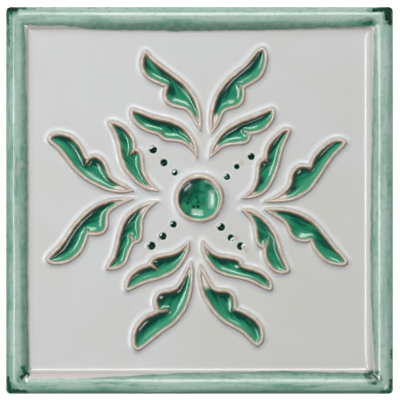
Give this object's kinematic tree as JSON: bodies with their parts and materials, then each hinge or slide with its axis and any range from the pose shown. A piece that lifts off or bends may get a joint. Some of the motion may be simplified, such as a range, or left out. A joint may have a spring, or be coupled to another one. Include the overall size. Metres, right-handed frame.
{
  "type": "decorative ceramic tile",
  "caption": "Square glazed ceramic tile with a raised rounded frame and a sunk field carrying ridged leaves around a dished centre boss.",
  "frame": {"origin": "on the flat back, under the middle of the square", "axes": "+Z out of the glazed face, +Y towards the top of the pattern, +X to its right"},
  "size_m": [0.15, 0.15, 0.012],
  "materials": {
    "glazed_ceramic": "glossy off-white glaze with green glaze on the frame and in the leaves, bare clay on the ridges and the back"
  },
  "bodies": {
    "root": {"tile": "glazed_ceramic"}
  },
  "joints": []
}
